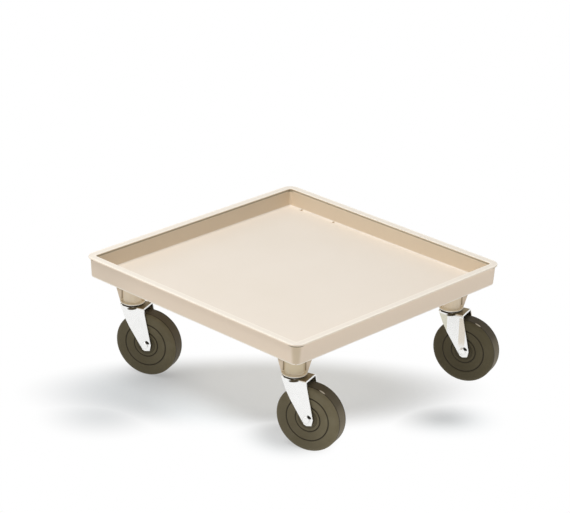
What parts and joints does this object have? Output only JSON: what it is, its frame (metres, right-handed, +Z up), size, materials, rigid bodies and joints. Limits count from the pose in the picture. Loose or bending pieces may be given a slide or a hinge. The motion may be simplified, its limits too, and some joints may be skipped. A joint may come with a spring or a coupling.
{
  "type": "platform trolley",
  "caption": "Square moulded tray dolly without a handle, on swivel stem casters with solid wheels; the recessed top holds the foot of a rack or crate.",
  "frame": {"origin": "on the floor, under the middle of the whole outline at rest; the tray's own middle is 16.1 mm towards -X of it, because the trailing wheels stand out past the tray on its +X side", "axes": "+Z up; +X and +Y along the square tray's sides, with the wheels trailing towards +X at rest"},
  "size_m": [0.5882, 0.556, 0.231],
  "materials": {
    "tray_polymer": "moulded polymer, pale warm grey-beige, satin",
    "zinc": "bright zinc-plated pressed steel",
    "dark_steel": "hardened steel, lightly oiled",
    "nylon": "natural nylon",
    "wheel_rubber": "solid grey-brown rubber, matt with a slight sheen"
  },
  "bodies": {
    "tray": {"deck_tray": "tray_polymer", "stem_sleeve_front_left": "zinc", "kingpin_front_left": "zinc", "grip_ring_front_left": "dark_steel", "upper_race_front_left": "dark_steel", "swivel_washer_front_left": "nylon", "race_retainer_front_left": "zinc", "stem_sleeve_front_right": "zinc", "kingpin_front_right": "zinc", "grip_ring_front_right": "dark_steel", "upper_race_front_right": "dark_steel", "swivel_washer_front_right": "nylon", "race_retainer_front_right": "zinc", "stem_sleeve_rear_right": "zinc", "kingpin_rear_right": "zinc", "grip_ring_rear_right": "dark_steel", "upper_race_rear_right": "dark_steel", "swivel_washer_rear_right": "nylon", "race_retainer_rear_right": "zinc", "stem_sleeve_rear_left": "zinc", "kingpin_rear_left": "zinc", "grip_ring_rear_left": "dark_steel", "upper_race_rear_left": "dark_steel", "swivel_washer_rear_left": "nylon", "race_retainer_rear_left": "zinc"},
    "swivel_front_left": {"fork_front_left": "zinc", "caged_balls_front_left": "dark_steel", "axle_sleeve_front_left": "zinc", "nut_washer_front_left": "zinc", "axle_bolt_front_left": "zinc", "axle_nut_front_left": "zinc"},
    "wheel_front_left": {"wheel_front_left": "wheel_rubber"},
    "swivel_front_right": {"fork_front_right": "zinc", "caged_balls_front_right": "dark_steel", "axle_sleeve_front_right": "zinc", "nut_washer_front_right": "zinc", "axle_bolt_front_right": "zinc", "axle_nut_front_right": "zinc"},
    "wheel_front_right": {"wheel_front_right": "wheel_rubber"},
    "swivel_rear_right": {"fork_rear_right": "zinc", "caged_balls_rear_right": "dark_steel", "axle_sleeve_rear_right": "zinc", "nut_washer_rear_right": "zinc", "axle_bolt_rear_right": "zinc", "axle_nut_rear_right": "zinc"},
    "wheel_rear_right": {"wheel_rear_right": "wheel_rubber"},
    "swivel_rear_left": {"fork_rear_left": "zinc", "caged_balls_rear_left": "dark_steel", "axle_sleeve_rear_left": "zinc", "nut_washer_rear_left": "zinc", "axle_bolt_rear_left": "zinc", "axle_nut_rear_left": "zinc"},
    "wheel_rear_left": {"wheel_rear_left": "wheel_rubber"}
  },
  "joints": [
    {"name": "swivel_front_left", "type": "hinge", "parent": "tray", "child": "swivel_front_left", "pos_m": [-0.22911, -0.213, 0.1363], "axis": [0, 0, 1], "continuous": true},
    {"name": "wheel_spin_front_left", "type": "hinge", "parent": "swivel_front_left", "child": "wheel_front_left", "pos_m": [-0.19574, -0.20046, 0.0625], "axis": [-0.3518, 0.9361, 0], "continuous": true},
    {"name": "swivel_front_right", "type": "hinge", "parent": "tray", "child": "swivel_front_right", "pos_m": [0.19689, -0.213, 0.1363], "axis": [0, 0, 1], "continuous": true},
    {"name": "wheel_spin_front_right", "type": "hinge", "parent": "swivel_front_right", "child": "wheel_front_right", "pos_m": [0.23089, -0.20228, 0.0625], "axis": [-0.3007, 0.9537, 0], "continuous": true},
    {"name": "swivel_rear_right", "type": "hinge", "parent": "tray", "child": "swivel_rear_right", "pos_m": [0.19689, 0.213, 0.1363], "axis": [0, 0, 1], "continuous": true},
    {"name": "wheel_spin_rear_right", "type": "hinge", "parent": "swivel_rear_right", "child": "wheel_rear_right", "pos_m": [0.23084, 0.2239, 0.0625], "axis": [-0.3057, 0.9521, 0], "continuous": true},
    {"name": "swivel_rear_left", "type": "hinge", "parent": "tray", "child": "swivel_rear_left", "pos_m": [-0.22911, 0.213, 0.1363], "axis": [0, 0, 1], "continuous": true},
    {"name": "wheel_spin_rear_left", "type": "hinge", "parent": "swivel_rear_left", "child": "wheel_rear_left", "pos_m": [-0.1953, 0.22431, 0.0625], "axis": [-0.3173, 0.9483, 0], "continuous": true}
  ]
}
